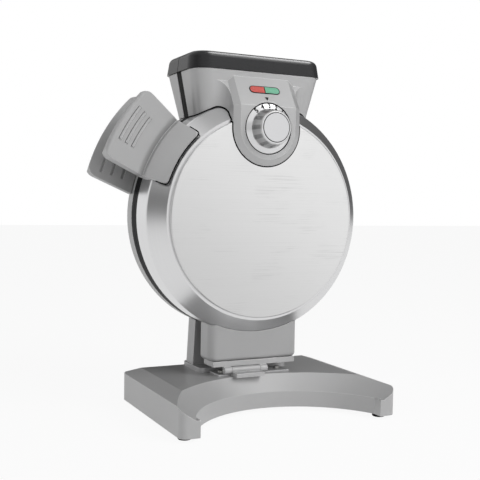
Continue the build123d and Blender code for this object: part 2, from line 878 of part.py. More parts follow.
front_hollow = turned([
    (hollow_radius_from, 0),
    (hollow_radius_from, -hollow_front),
    (handle_tip_radius - wall, -hollow_tip),
    (handle_tip_radius - handle_tip_rake - wall, -handle_tip_depth + handle_tip_thickness),
    (handle_tip_radius - handle_tip_rake - wall, 0),
])
front_wing -= front_hollow & wing_prism(hollow_outline, -far, over)
front_wing -= front_form(shadow_gap)


def front_wing_depth(radius):
    """The depth of the front wing's face at a radius."""
    return -handle_crease_depth - (radius - handle_crease_radius) * wing_slope


for step in (-1, 0, 1):
    radius = front_rib_radius + step * front_rib_pitch
    depth = front_wing_depth(radius)
    margin = math.degrees(groove_width / radius)
    front_wing -= grip_arc(
        radius, depth, rib_width + 2 * groove_width, 2 * groove_depth,
        front_rib_from - margin, front_rib_to + margin,
    )
    front_wing += grip_arc(radius, depth, rib_width, 2 * rib_height, front_rib_from, front_rib_to)
nodes["front_handle"] = front_wing

rear_slope = (rear_handle_tip_depth - rear_handle_root_depth) / (rear_handle_tip_radius - shell_radius)
rear_root = shell_radius - rear_wall_round
rear_root_depth = rear_handle_root_depth - (shell_radius - rear_root) * rear_slope
rear_wing = turned([
    (rear_root, rear_root_depth),
    (rear_handle_tip_radius, rear_handle_tip_depth),
    (rear_handle_tip_radius - handle_tip_rake, rear_handle_tip_depth + rear_handle_thickness),
    (rear_root, rear_root_depth + rear_handle_thickness),
])
rear_radii = (rear_root, rear_handle_tip_radius)
rear_tips = (rear_handle_tip_half_width, rear_handle_tip_half_width)
rear_outline = wing_outline(
    rear_radii, rear_handle_root_half_width, rear_tips, 0, 0, rear_handle_direction
)
rear_hollow_outline = wing_outline(
    rear_radii, rear_handle_root_half_width, rear_tips, 0, wall, rear_handle_direction
)
rear_wing = rear_wing & wing_prism(rear_outline, 0, far)


def rear_wing_depth(radius):
    """The depth of the rear wing's face at a radius."""
    return rear_handle_root_depth + (radius - shell_radius) * rear_slope


rear_hollow_from = shell_radius + rear_web
rear_hollow = turned([
    (rear_hollow_from, rear_wing_depth(rear_hollow_from) + wall),
    (rear_handle_tip_radius - wall, rear_wing_depth(rear_handle_tip_radius) + wall),
    (rear_handle_tip_radius - handle_tip_rake - wall, far),
    (rear_hollow_from, far),
])
rear_wing -= rear_hollow & wing_prism(rear_hollow_outline, 0, far + over)
rear_wing -= rear_form(shadow_gap)
for step in (-1, 0, 1):
    radius = rear_rib_radius + step * rear_rib_pitch
    depth = rear_wing_depth(radius)
    rear_wing -= grip_arc(radius, depth, rib_width, 2 * rear_slot_depth, rear_rib_from, rear_rib_to)
nodes["rear_handle"] = rear_wing


# Base cover

leg_inner = base_half_width - leg_width


def base_outline(inset):
    """The plan of the base, with rounded corners and the arc between the legs."""
    width = 2 * (base_half_width - inset)
    depth = base_rear + leg_tip - 2 * inset
    plan = Pos(0, (base_rear - leg_tip) / 2) * RectangleRounded(width, depth, base_corner - inset)
    gap = Circle(arc_radius + inset) & Rectangle(2 * (leg_inner + inset), far)
    return plan - Pos(0, arc_centre_y) * gap


def base_form(inset, z_from):
    """The base above a height: level deck, bevelled edges and a front that slopes to the arc."""
    top = deck_z - inset
    plan = Pos(0, 0, z_from) * base_outline(inset)
    solid = extrude(plan, top - z_from)
    rise = deck_z - side_top_z
    side_run = base_half_width - deck_half_width
    rear_run = base_rear - deck_rear
    side_edge_z = side_top_z - inset * side_run / (side_run + rise)
    rear_edge_z = side_top_z - inset * rear_run / (rear_run + rise)
    across = make_face(Plane.XZ * Polyline(
        (-base_half_width + inset, z_from - over),
        (base_half_width - inset, z_from - over),
        (base_half_width - inset, side_edge_z),
        (deck_half_width - inset, top + inset * rise / side_run),
        (-deck_half_width + inset, top + inset * rise / side_run),
        (-base_half_width + inset, side_edge_z),
        close=True,
    ))
    along = make_face(Plane.YZ * Polyline(
        (-far, z_from - over),
        (base_rear - inset, z_from - over),
        (base_rear - inset, rear_edge_z),
        (deck_rear - inset, top + inset * rise / rear_run),
        (-far, top + inset * rise / rear_run),
        close=True,
    ))
    solid = solid & extrude(across, far, both=True) & extrude(along, far, both=True)
    span = (deck_z - arc_top_z) * 2
    low = Pos(0, arc_centre_y, arc_top_z) * Circle(arc_radius + inset)
    high_centre = arc_centre_y + 2 * (crease_centre_y - arc_centre_y)
    high_radius = arc_radius + 2 * (crease_radius - arc_radius) + inset
    high = Pos(0, high_centre, arc_top_z + span) * Circle(high_radius)
    return solid - loft([low, high], ruled=True)


foot_radius = leg_width / 2 - wall - fit
foot_front = (leg_inner + leg_width / 2 - foot_front_shift, foot_front_setback - leg_tip)
foot_rear = (base_half_width - foot_rear_inset, base_rear - foot_rear_setback)
gland_x = base_half_width - gland_inset
terminal_y = base_rear - terminal_setback
boss_places = []
for x, y in (foot_front, foot_rear):
    boss_places.append((x, y))
    boss_places.append((-x, y))
column_screw_places = []
for side in (-1, 1):
    column_screw_places.append((side * (column_half_width - screw_edge), plinth_front + screw_edge))
    column_screw_places.append((side * (column_half_width - screw_edge), cable_hole_y))
hinge_screw_places = [(-hinge_screw_x, hinge_screw_y), (hinge_screw_x, hinge_screw_y)]

plate_top_z = plate_z + plate_thickness
cover = base_form(0, base_bottom_z) - base_form(wall, base_bottom_z - over)
bosses = [post(x, y, boss_radius, plate_top_z, deck_z) for x, y in boss_places]
cover += [boss & base_form(wall / 2, base_bottom_z) for boss in bosses]
for x, y in boss_places:
    cover -= post(x, y, screw_radius + screw_gap, plate_top_z - over, plate_top_z + screw_grip + over)
for x, y in column_screw_places + hinge_screw_places:
    cover -= post(x, y, screw_radius + screw_gap, deck_z - wall - over, deck_z + over)
cover -= post(0, cable_hole_y, cable_hole_radius, deck_z - 2 * wall, deck_z + over)
cover -= rod(gland_x, gland_z, gland_radius + screw_gap, base_rear - 2 * wall, base_rear + over)
nodes["base_cover"] = cover

# Base plate with its vents
base_plate = extrude(Pos(0, 0, plate_z) * base_outline(wall + fit), plate_thickness)
for index in range(vent_count):
    x = (index - (vent_count - 1) / 2) * vent_pitch
    slot = Pos(x, vent_y, plate_z - over) * Rot(0, 0, 90) * SlotOverall(vent_length, vent_width)
    base_plate -= extrude(slot, plate_thickness + 2 * over)
for x, y in boss_places:
    base_plate -= post(x, y, screw_radius + screw_gap, plate_z - over, plate_top_z + over)
nodes["base_plate"] = base_plate

# Rubber feet, each held by a screw that also holds the plate
feet = []
foot_screws = []
foot_seat_z = plate_z - wall
for x, y in boss_places:
    foot = post(x, y, foot_radius, 0, plate_z)
    foot = fillet(foot.edges().sort_by(Axis.Z)[0], foot_round)
    foot -= post(x, y, screw_radius + screw_gap, -over, plate_z + over)
    foot -= post(x, y, screw_head_radius + screw_gap, -over, foot_seat_z)
    feet.append(foot)
    foot_screws.append(screw_down(x, y, foot_seat_z, plate_top_z + screw_grip - foot_seat_z))
nodes["rubber_feet"] = Compound(children=feet)
nodes["foot_screws"] = Compound(children=foot_screws)

# Cord gland in the back of the base, and the terminal block inside
gland = rod(gland_x, gland_z, gland_radius, base_rear - gland_length, base_rear)
gland += rod(gland_x, gland_z, gland_flange_radius, base_rear, base_rear + gland_flange)
gland -= rod(gland_x, gland_z, gland_bore, -far, far)
nodes["cord_gland"] = gland
nodes["terminal_block"] = block(
    gland_x - terminal_length / 2, gland_x + terminal_length / 2,
    terminal_y - terminal_width / 2, terminal_y + terminal_width / 2,
    plate_top_z, plate_top_z + terminal_height,
)


# Rear column with its plinth

def column_prism(inset, z_low):
    """The column seen from the side, made wide, with rounded upright edges at the back."""
    z_high = shell_centre_z - shell_radius / 2
    foot_slope = (column_foot_rear - column_knee_rear) / (column_knee_z - deck_z)
    rear_low = column_foot_rear - (z_low - deck_z) * foot_slope
    face = make_face(Plane.YZ * Polyline(
        (column_front + inset, z_low),
        (rear_low - inset, z_low),
        (column_knee_rear - inset, column_knee_z),
        (column_top_rear - inset, z_high),
        (column_front + inset, z_high),
        close=True,
    ))
    widening = (column_foot_half_width - column_half_width) / (column_waist_z - deck_z)
    low_half_width = column_foot_half_width - inset - (z_low - deck_z) * widening
    view = make_face(Plane.XZ * Polyline(
        (-low_half_width, z_low),
        (low_half_width, z_low),
        (column_half_width - inset, column_waist_z),
        (column_half_width - inset, z_high),
        (-column_half_width + inset, z_high),
        (-column_half_width + inset, column_waist_z),
        close=True,
    ))
    prism = extrude(face, far, both=True) & extrude(view, far, both=True)
    depth = 2 * (column_foot_rear - inset)
    rounding = column_corner - inset
    low_plan = Pos(0, 0, z_low) * RectangleRounded(2 * low_half_width, depth, rounding)
    high_plan = Pos(0, 0, column_waist_z) * RectangleRounded(
        2 * (column_half_width - inset), depth, rounding
    )
    rounded = loft([low_plan, high_plan], ruled=True) + extrude(high_plan, z_high - column_waist_z)
    return prism & rounded


column = column_prism(0, deck_z)
plinth_depth = column_foot_rear - plinth_front
plinth_plan = Pos(0, (column_foot_rear + plinth_front) / 2, deck_z) * RectangleRounded(
    2 * plinth_half_width, plinth_depth, plinth_corner
)
column += extrude(plinth_plan, column_floor)
column -= column_prism(wall, deck_z + column_floor)
column -= post(0, cable_hole_y, cable_hole_radius, deck_z - over, deck_z + column_floor + over)
column -= rear_form(fit)
column_screws = []
for x, y in column_screw_places:
    column -= post(x, y, screw_radius + screw_gap, deck_z - over, deck_z + column_floor - over / 2)
    column_screws.append(screw_down(x, y, deck_z - wall, wall + column_floor - over))
nodes["rear_column"] = column
nodes["column_screws"] = Compound(children=column_screws)

# Hinge bracket on the deck, with its pin
tab_top_z = deck_z + tab_height
bracket = block(
    -bracket_half_width, bracket_half_width, hinge_y, bracket_rear, deck_z, deck_z + hinge_sheet
)
bracket += block(tab_left, tab_right, hinge_y - tab_reach, hinge_y, deck_z, tab_top_z)
bracket += axle(hinge_y, hinge_z, knuckle_radius, tab_left, tab_right)
bracket += block(
    tab_left, tab_right, hinge_y - knuckle_radius / 2, hinge_y + knuckle_radius, deck_z, hinge_z
)
bracket -= axle(hinge_y, hinge_z, pin_radius + running_gap, -far, far)
hinge_screws = []
for x, y in hinge_screw_places:
    bracket -= post(x, y, screw_radius + screw_gap, deck_z - over, deck_z + hinge_sheet + over)
    head_z = deck_z + hinge_sheet
    screw = post(x, y, screw_head_radius, head_z, head_z + screw_head)
    hinge_screws.append(screw + post(x, y, screw_radius, deck_z - wall - over, head_z))
nodes["hinge_bracket"] = bracket
nodes["hinge_screws"] = Compound(children=hinge_screws)
door_knuckles = [
    (tab_left - knuckle_gap - door_knuckle, tab_left - knuckle_gap),
    (tab_right + knuckle_gap, tab_right + knuckle_gap + door_knuckle),
]
pin_left = door_knuckles[0][0] - over
pin_right = door_knuckles[1][1] + over
nodes["hinge_pin"] = axle(hinge_y, hinge_z, pin_radius, pin_left, pin_right)

# Hinge leaf under the neck
leaf = block(-leaf_half_width, leaf_half_width, hinge_y, leaf_rear, leaf_z, neck_z)
for x_from, x_to in door_knuckles:
    leaf += axle(hinge_y, hinge_z, knuckle_radius, x_from, x_to)
    leaf += block(x_from, x_to, hinge_y, hinge_y + knuckle_radius, hinge_z, leaf_z + over)
leaf -= axle(hinge_y, hinge_z, pin_radius + running_gap, -far, far)
leaf_screws = []
for x, y in hinge_screw_places:
    leaf -= post(x, y, screw_radius + screw_gap, leaf_z - over, neck_z + over)
    leaf_screws.append(screw_down(x, y, leaf_z, leaf_sheet + neck_floor))
nodes["hinge_leaf"] = leaf
nodes["leaf_screws"] = Compound(children=leaf_screws)


# Neck that carries the front shell

def neck_form(inset, z_from):
    """The neck, with rounded upright edges, between a height and the middle of the shell."""
    plan = Pos(0, -(neck_front + neck_back) / 2, z_from) * RectangleRounded(
        2 * (neck_half_width - inset), neck_front - neck_back - 2 * inset, neck_corner - inset
    )
    return extrude(plan, shell_centre_z - shell_radius / 2 - z_from)


neck = neck_form(0, neck_z)
neck = fillet(neck.faces().sort_by(Axis.Z)[0].edges(), neck_bottom_round)
neck -= neck_form(wall, neck_z + neck_floor)
neck -= front_form(fit)
for x, y in hinge_screw_places:
    neck -= post(x, y, screw_radius + screw_gap, neck_z - over, neck_z + neck_floor + over)
nodes["front_neck"] = neck

os.makedirs("parts", exist_ok=True)
for name, solid in nodes.items():
    export_step(solid, "parts/" + name + ".step")
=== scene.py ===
import bpy
import math
from mathutils import Matrix, Vector


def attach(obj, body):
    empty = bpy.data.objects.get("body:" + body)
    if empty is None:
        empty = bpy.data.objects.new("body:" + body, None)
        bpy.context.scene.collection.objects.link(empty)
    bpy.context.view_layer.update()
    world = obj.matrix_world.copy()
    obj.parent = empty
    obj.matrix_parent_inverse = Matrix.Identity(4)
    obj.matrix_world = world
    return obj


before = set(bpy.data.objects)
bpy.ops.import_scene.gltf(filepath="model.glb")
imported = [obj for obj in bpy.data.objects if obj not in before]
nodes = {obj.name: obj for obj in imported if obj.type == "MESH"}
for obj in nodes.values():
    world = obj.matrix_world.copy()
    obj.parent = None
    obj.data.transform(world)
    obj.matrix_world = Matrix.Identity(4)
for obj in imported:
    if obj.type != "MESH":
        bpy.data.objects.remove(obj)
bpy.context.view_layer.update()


# Camera, a little above the middle of the shell and to the left of the front, looking
# right and slightly down. Its frame is a square of 480 pixels.
def add_to_scene(thing):
    """Puts an object among those that are rendered."""
    bpy.context.scene.collection.objects.link(thing)


camera_place = Vector((-0.3796, -0.7810, 0.2121))
camera_yaw = math.radians(25.90)
camera_pitch = math.radians(2.63)
camera_roll = math.radians(0.90)
picture_width = 480
focal_pixels = 821.8
sensor_width = 36
forward = Vector((
    math.sin(camera_yaw) * math.cos(camera_pitch),
    math.cos(camera_yaw) * math.cos(camera_pitch),
    -math.sin(camera_pitch),
))
level_right = Vector((math.cos(camera_yaw), -math.sin(camera_yaw), 0))
level_up = level_right.cross(forward)
right = level_right * math.cos(camera_roll) + level_up * math.sin(camera_roll)
up = level_up * math.cos(camera_roll) - level_right * math.sin(camera_roll)
camera_data = bpy.data.cameras.new("camera")
camera_data.sensor_width = sensor_width
camera_data.lens = focal_pixels / picture_width * sensor_width
camera = bpy.data.objects.new("camera", camera_data)
camera.matrix_world = Matrix((right, up, -forward)).transposed().to_4x4()
camera.location = camera_place
add_to_scene(camera)
bpy.context.scene.camera = camera
bpy.context.scene.view_settings.view_transform = "Standard"


# Floor: a plain pale sheet, far wider than the object. It is nearly white to the
# camera and in reflections, and keeps the object's soft shadow.
class Wire:
    """A value on its way through a material. Operators on values add Math nodes."""

    def __init__(self, tree, socket=None):
        self.tree = tree
        self.socket = socket

    def node(self, kind, settings=None, inputs=None, output=0):
        """Adds a node with its settings, and the values or links of its sockets."""
        made = self.tree.nodes.new(kind)
        for name, value in (settings or {}).items():
            setattr(made, name, value)
        for name, value in (inputs or {}).items():
            if isinstance(value, Wire):
                self.tree.links.new(value.socket, made.inputs[name])
            else:
                made.inputs[name].default_value = value
        return Wire(self.tree, made.outputs[output] if made.outputs else None)

    def parts(self):
        """The X, Y and Z of a vector, as three wires."""
        split = self.node("ShaderNodeSeparateXYZ", inputs={0: self}).socket.node
        return [Wire(self.tree, output) for output in split.outputs]

    def math(self, operation, *others):
        """A Math node on this value and others."""
        return self.node("ShaderNodeMath", {"operation": operation}, dict(enumerate((self, *others))))

    def __add__(self, other):
        return self.math("ADD", other)

    def __sub__(self, other):
        return self.math("SUBTRACT", other)

    def __rsub__(self, other):
        return self.node("ShaderNodeMath", {"operation": "SUBTRACT"}, {0: other, 1: self})

    def __mul__(self, other):
        return self.math("MULTIPLY", other)

    def __truediv__(self, other):
        return self.math("DIVIDE", other)

    def __gt__(self, other):
        return self.math("GREATER_THAN", other)

    def __lt__(self, other):
        return self.math("LESS_THAN", other)

    def __abs__(self):
        return self.math("ABSOLUTE")

    __radd__ = __add__
    __rmul__ = __mul__


def new_finish(name):
    """A bare material, and the wire that it is built from."""
    material = bpy.data.materials.new(name)
    material.use_nodes = True
    material.node_tree.nodes.clear()
    return material, Wire(material.node_tree)


def rays(start, kind):
    """1 for rays of a kind, and 0 for others."""
    return start.node("ShaderNodeLightPath", output="Is " + kind + " Ray")


floor_half = 6.0
floor_shadowed = (0.85, 0.85, 0.85, 1)
floor_whiteness = 0.93
white = (1, 1, 1, 1)
floor_finish, start = new_finish("floor")
seen = rays(start, "Camera") + rays(start, "Glossy") + rays(start, "Transmission")
matte = start.node("ShaderNodeBsdfDiffuse", inputs={"Color": floor_shadowed})
glow = start.node("ShaderNodeEmission", inputs={"Color": white, "Strength": 1.0})
sheet = start.node("ShaderNodeMixShader", inputs={0: seen * floor_whiteness, 1: matte, 2: glow})
start.node("ShaderNodeOutputMaterial", inputs={"Surface": sheet})
floor_mesh = bpy.data.meshes.new("floor")
floor_mesh.from_pydata(
    [(x * floor_half, y * floor_half, 0) for x, y in ((-1, -1), (1, -1), (1, 1), (-1, 1))], [], [(0, 1, 2, 3)]
)
floor_mesh.materials.append(floor_finish)
floor = bpy.data.objects.new("floor", floor_mesh)
add_to_scene(floor)


# Surround: white to the camera, and a weak fill for the object. Dark flags stand in
# it at the back right, overhead, at the left and behind. Only metal and gloss show them.
def likeness(way, other):
    """1 where two ways are the same, and less where they part."""
    # The node's output 1 is its number.
    return way.node("ShaderNodeVectorMath", {"operation": "DOT_PRODUCT"}, {0: way, 1: other}, output=1)


def smooth_step(value, low, high, at_low, at_high):
    """A smooth change from one number to another as a value goes from low to high."""
    return value.node("ShaderNodeMapRange", {"interpolation_type": "SMOOTHSTEP"}, {
        "Value": value, "From Min": low, "From Max": high, "To Min": at_low, "To Max": at_high,
    })


fill_strength = 0.19
world = bpy.data.worlds.new("studio")
bpy.context.scene.world = world
world.use_nodes = True
world.node_tree.nodes.clear()
start = Wire(world.node_tree)
way = start.node("ShaderNodeTexCoord", output="Generated")
mirrored_white = 1.0
# For each flag: the way it stands in, the likeness to that way at its edge and at its
# core, and its darkness.
for towards, edge, core, darkness in (
    ((0.79, 0.48, 0.38), 0.45, 0.93, 0.88),
    ((0.00, 0.05, 1.00), 0.88, 0.98, 0.50),
    ((-0.94, -0.30, -0.10), 0.69, 0.96, 0.90),
    ((0.15, 0.97, 0.19), 0.93, 0.995, 0.60),
):
    mirrored_white = mirrored_white - smooth_step(likeness(way, towards), edge, core, 0.0, darkness)
seen = rays(start, "Camera") + rays(start, "Transmission")
glossy = rays(start, "Glossy")
strength = seen + glossy * mirrored_white + (1 - seen - glossy) * fill_strength
sky = start.node("ShaderNodeBackground", inputs={"Color": white, "Strength": strength})
start.node("ShaderNodeOutputWorld", inputs={"Surface": sky})

# Lamps: a soft one at the front right, a weaker one low at the left, a small one above
# the front that gloss mirrors, and one overhead that is flagged off all but the rim.
lamp_aim = Vector((0, 0, 0.18))
# For each lamp: its place, width in metres, power in watts, whether gloss mirrors it,
# and the only pieces it lights, if not all.
for name, place, width, power, mirrored, only in (
    ("lamp_front_right", (0.75, -1.25, 0.70), 0.9, 12.5, False, ()),
    ("lamp_left", (-1.5, -0.45, 0.22), 0.7, 7.0, False, ()),
    ("lamp_above_front", (0.57, -0.78, 1.17), 0.5, 3.0, True, ()),
    ("lamp_over_rim", (0.45, -0.12, 1.22), 0.6, 14.0, True, ("front_rim", "rear_rim")),
):
    lamp_data = bpy.data.lights.new(name, "AREA")
    lamp_data.shape = "SQUARE"
    lamp_data.size = width
    lamp_data.energy = power
    lamp = bpy.data.objects.new(name, lamp_data)
    lamp.location = place
    lamp.rotation_euler = (lamp_aim - Vector(place)).to_track_quat("-Z", "Y").to_euler()
    lamp.visible_glossy = mirrored
    add_to_scene(lamp)
    if only:
        lamp.light_linking.receiver_collection = bpy.data.collections.new(name)
        for node in only:
            lamp.light_linking.receiver_collection.objects.link(nodes[node])


# Rubber feet, moulded, each with a screw up its middle that also holds the base plate.
# The rubber is dull and black, with a fine grain and paler scuffs.
def dress(material, *names):
    """Gives a material to every slot of some CAD nodes."""
    for name in names:
        for place in nodes[name].material_slots:
            place.material = material


def noise(vector, detail=2.0):
    """Noise between 0 and 1, with cells of one unit of its vector."""
    return vector.node("ShaderNodeTexNoise", {}, {"Vector": vector, "Detail": detail, "Scale": 1.0})


def on_body(start):
    """The point on the object, in metres."""
    return start.node("ShaderNodeTexCoord", output="Object")


def speckle(start, cells, detail=2.0):
    """Noise over the object, by its cells to a metre along each axis."""
    cells = cells if isinstance(cells, tuple) else (cells, cells, cells)
    return noise(
        start.node("ShaderNodeVectorMath", {"operation": "MULTIPLY"}, {0: on_body(start), 1: cells}), detail
    )


def tint(mask, low, high):
    """A colour between two, by a mask."""
    low, high = ((*colour, 1) if isinstance(colour, tuple) else colour for colour in (low, high))
    # The Mix node's inputs 6 and 7 and its output 2 are its colours.
    return mask.node("ShaderNodeMix", {"data_type": "RGBA"}, {"Factor": mask, 6: low, 7: high}, output=2)


def relief(height, depth, normal=None):
    """A normal with relief, its depth in metres."""
    inputs = {"Height": height, "Distance": depth, "Strength": 1.0}
    if normal:
        inputs["Normal"] = normal
    return height.node("ShaderNodeBump", {}, inputs)


def close_finish(start, sockets):
    """Ends a material with a Principled shader that has these values and links."""
    shader = start.node("ShaderNodeBsdfPrincipled", inputs=sockets)
    start.node("ShaderNodeOutputMaterial", inputs={"Surface": shader})


foot_black = (0.006, 0.006, 0.0065)
foot_scuffed = (0.022, 0.021, 0.02)
foot_grain_depth = 0.00006
foot_rubber, start = new_finish("foot_rubber")
grain = speckle(start, 2400)
scuff = speckle(start, (180, 180, 60), 4.0)
close_finish(start, {
    "Base Color": tint(scuff, foot_black, foot_scuffed),
    "Roughness": 0.6 + grain * 0.25,
    "Specular IOR Level": 0.1,
    "Normal": relief(grain, foot_grain_depth),
})
dress(foot_rubber, "rubber_feet")

# Screws, hinge pin, nut, dial shaft and latch: zinc-plated steel, turned or pressed.
# The plating has a faint blue and straw cast in cloudy patches.
zinc_blue = (0.50, 0.52, 0.56)
zinc_straw = (0.60, 0.58, 0.52)
turning_depth = 0.00002
zinc_steel, start = new_finish("zinc_steel")
cloud = speckle(start, 160, 3.0)
turning = speckle(start, (900, 900, 5200))
close_finish(start, {
    "Base Color": tint(cloud, zinc_blue, zinc_straw),
    "Metallic": 1.0,
    "Roughness": 0.26 + turning * 0.2,
    "Normal": relief(turning, turning_depth),
})
dress(
    zinc_steel, "foot_screws", "column_screws", "hinge_screws", "leaf_screws", "rear_reflector_screws",
    "front_reflector_screws", "hinge_pin", "thermostat_nut", "dial_shaft", "latch_tongue", "latch_spring",
)


# Base plate, cord gland, ring frames, chute liners and buzzer: black nylon, moulded
# with a fine spark-eroded texture that is duller than the polished rim.
def soft_edge(start, radius):
    """The normal with edges rounded over a small radius."""
    return start.node("ShaderNodeBevel", {"samples": 4}, {"Radius": radius}, output="Normal")


nylon_black = (0.005, 0.005, 0.0055)
nylon_pale = (0.013, 0.013, 0.014)
nylon_edge = 0.0004
nylon_grain_depth = 0.00005
black_nylon, start = new_finish("black_nylon")
grain = speckle(start, 1800)
cast = speckle(start, 40, 3.0)
close_finish(start, {
    "Base Color": tint(cast, nylon_black, nylon_pale),
    "Roughness": 0.38 + grain * 0.22,
    "Specular IOR Level": 0.06,
    "Normal": relief(grain, nylon_grain_depth, soft_edge(start, nylon_edge)),
})
dress(
    black_nylon, "base_plate", "cord_gland", "front_frame", "rear_frame", "front_chute", "rear_chute", "buzzer",
)

# Terminal block and thermostat body: dark brown phenolic, pressed hot, hard and
# slightly speckled with its filler.
phenolic_brown = (0.10, 0.055, 0.035)
phenolic_fleck = (0.19, 0.12, 0.08)
fleck_share = 0.62
phenolic, start = new_finish("phenolic")
fleck = speckle(start, 1400, 5.0) > fleck_share
close_finish(start, {
    "Base Color": tint(fleck, phenolic_brown, phenolic_fleck),
    "Roughness": 0.35 + fleck * 0.2,
})
dress(phenolic, "terminal_block", "thermostat")


# Base cover, column, neck, hinge bracket and leaf, rear shell, control housing and rear
# hopper: ABS mouldings, sprayed with a satin silver paint. Fine flakes sit in it, and its
# edges are painted lighter, partly as wear and partly as a painted highlight.
def shade(colour, factor):
    """A colour made lighter or darker."""
    return tuple(min(channel * factor, 1) for channel in colour)


def edge_mask(start, rounded):
    """1 on an edge and 0 on a face, from the rounded normal."""
    sharpness = 6.0
    flat = start.node("ShaderNodeNewGeometry", output="Normal")
    return ((1 - likeness(rounded, flat)) * sharpness).math("MINIMUM", 1.0)


def silver_paint(name, colour, metal=0.3, roughness=0.36, shaded=None):
    """Satin silver paint on a moulding, lighter on its edges by wear and a painted highlight, with painted shade in
    places by a mask.
    """
    edge_radius = 0.0009
    edge_wear_and_highlight = 0.9
    flake_depth = 0.00002
    flake_roughness = 0.12
    darker, bright = shade(colour, 0.92), shade(colour, 1.08)
    worn_edge_and_highlight, painted_shade_colour = shade(colour, 1.8), shade(colour, 0.3)
    material, start = new_finish(name)
    flake = speckle(start, 2600, 1.0)
    cast = speckle(start, 22, 3.0)
    rounded = soft_edge(start, edge_radius)
    paint = tint(cast * 0.5 + flake * 0.5, darker, bright)
    # Lighter on the edges: partly wear, partly a painted highlight.
    paint = tint(edge_mask(start, rounded) * edge_wear_and_highlight, paint, worn_edge_and_highlight)
    # Painted shade: darker where the mask says, towards a deep shade of the paint's colour.
    if shaded:
        paint = tint(shaded(start), paint, painted_shade_colour)
    close_finish(start, {
        "Base Color": paint,
        "Metallic": metal,
        "Roughness": roughness + flake * flake_roughness,
        "Normal": relief(flake, flake_depth, rounded),
    })
    return material


base_silver = silver_paint("base_silver", (0.46, 0.46, 0.462))
dress(base_silver, "base_cover", "hinge_bracket", "hinge_leaf", "rear_shell")
column_silver = silver_paint("column_silver", (0.40, 0.40, 0.402))
dress(column_silver, "rear_column", "front_neck")
housing_silver = silver_paint("housing_silver", (0.45, 0.45, 0.452), metal=0.4, roughness=0.34)
dress(housing_silver, "control_housing", "rear_hopper")


# Handle wings: ABS mouldings with the same paint, one on each half, the front one with
# a flange on the shell. Painted shade darkens them in the valley by the shell, and in the
# grooves round the front wing's three grip bars.
def radius_about(start, centre_z):
    """The distance from an axis that runs from front to back at a height."""
    across, _, height = on_body(start).parts()
    rise = height - centre_z
    return (across * across + rise * rise).math("SQRT")


shell_centre_z = 0.197
wing_silver = (0.44, 0.44, 0.442)
valley_darkness = 0.6
front_valley = (0.1278, 0.1358)
rear_valley = (0.120, 0.160)
rear_wing_darkness = 0.1
bar_radii = (0.1492, 0.1567, 0.1642)
bar_half = 0.0012
bar_groove = 0.0006
bar_darkness = 0.7
bar_turns = (math.radians(141.3), math.radians(154.3))


def front_wing_shade(start):
    """Painted shade in the front wing's valley and in the grooves round its bars."""
    across, _, height = on_body(start).parts()
    radius = radius_about(start, shell_centre_z)
    turn = (height - shell_centre_z).math("ARCTAN2", across)
    valley = smooth_step(radius, *front_valley, valley_darkness, 0.0)
    shaded = valley * (radius > front_valley[0])
    beside_bars = (turn > bar_turns[0]) * (turn < bar_turns[1])
    for bar_radius in bar_radii:
        off = abs(radius - bar_radius)
        groove = (off > bar_half) * (off < bar_half + bar_groove)
        shaded = shaded + groove * beside_bars * bar_darkness
    return shaded


def rear_wing_shade(start):
    """Painted shade towards the rear wing's valley."""
    return smooth_step(radius_about(start, shell_centre_z), *rear_valley, valley_darkness, rear_wing_darkness)


dress(silver_paint("front_wing_silver", wing_silver, shaded=front_wing_shade), "front_handle")
dress(silver_paint("rear_wing_silver", wing_silver, shaded=rear_wing_shade), "rear_handle")


# Front shell: a steel bowl, spun and polished, so that its fine rings run round it. Its
# colour is varied by ring and by sector, the sectors being a painted reflection of light.
def spun_metal(name, centre_z, colour, roughness, rings_to_metre, ring_depth, contrast):
    """Steel or aluminium turned about an axis that runs from front to back, its colour varied by ring and, as a
    painted reflection, by sector.
    """
    edge_radius = 0.0006
    sector_cells = 2.5
    cone_rate = 0.7
    ring_share = 0.7
    cast_share = 0.3
    material, start = new_finish(name)
    across, back, height = on_body(start).parts()
    radius = radius_about(start, centre_z)
    # The noise follows the rings and the turn about the axis; the sectors it makes are a painted reflection.
    ring = start.node("ShaderNodeCombineXYZ", {}, {
        "X": (radius + back * cone_rate) * rings_to_metre,
        "Y": across / radius * sector_cells,
        "Z": (height - centre_z) / radius * sector_cells,
    })
    rings = noise(ring, 3.0)
    cast = speckle(start, 14)
    mask = rings * ring_share + cast * cast_share
    close_finish(start, {
        "Base Color": tint(mask, shade(colour, 1 - contrast), shade(colour, 1 + contrast)),
        "Metallic": 1.0,
        "Roughness": roughness + rings * 0.08,
        "Normal": relief(rings, ring_depth, soft_edge(start, edge_radius)),
    })
    return material


shell_steel = spun_metal(
    "shell_steel", shell_centre_z, (0.69, 0.69, 0.695),
    roughness=0.27, rings_to_metre=3200, ring_depth=0.000006, contrast=0.06,
)
dress(shell_steel, "front_shell")

# Front disc: stainless steel sheet, pressed, brushed from side to side and set into the
# front of the shell. Painted shade darkens it towards the lower left, and it is scratched in patches.
disc_bright = (0.84, 0.84, 0.84)
disc_painted_shade = (0.64, 0.64, 0.64)
disc_scratched = (0.42, 0.42, 0.42)
shade_lean = 0.7
shade_span = (0.05, 0.30)
patch_span = (0.5, 0.7)
scratch_span = (0.5, 0.66)
disc_edge = 0.0007
brush_depth = 0.00002
disc_steel, start = new_finish("disc_steel")
hair = speckle(start, (6, 60, 4200))
patch = smooth_step(speckle(start, (26, 60, 60), 3.0), *patch_span, 0.0, 1.0)
scratch = smooth_step(speckle(start, (14, 300, 1700), 3.0), *scratch_span, 0.0, 1.0) * patch
across, _, height = on_body(start).parts()
# Painted shade: the steel's colour goes darker towards the lower left.
darker = smooth_step(height + across * shade_lean, *shade_span, 1.0, 0.0)
steel = tint(darker, disc_bright, disc_painted_shade)
close_finish(start, {
    "Base Color": tint((hair * 0.35 + scratch * 0.65) * 0.5, steel, disc_scratched),
    "Metallic": 1.0,
    "Roughness": 0.3 + hair * 0.14,
    "Normal": relief(hair + scratch, brush_depth, soft_edge(start, disc_edge)),
})
dress(disc_steel, "front_disc")

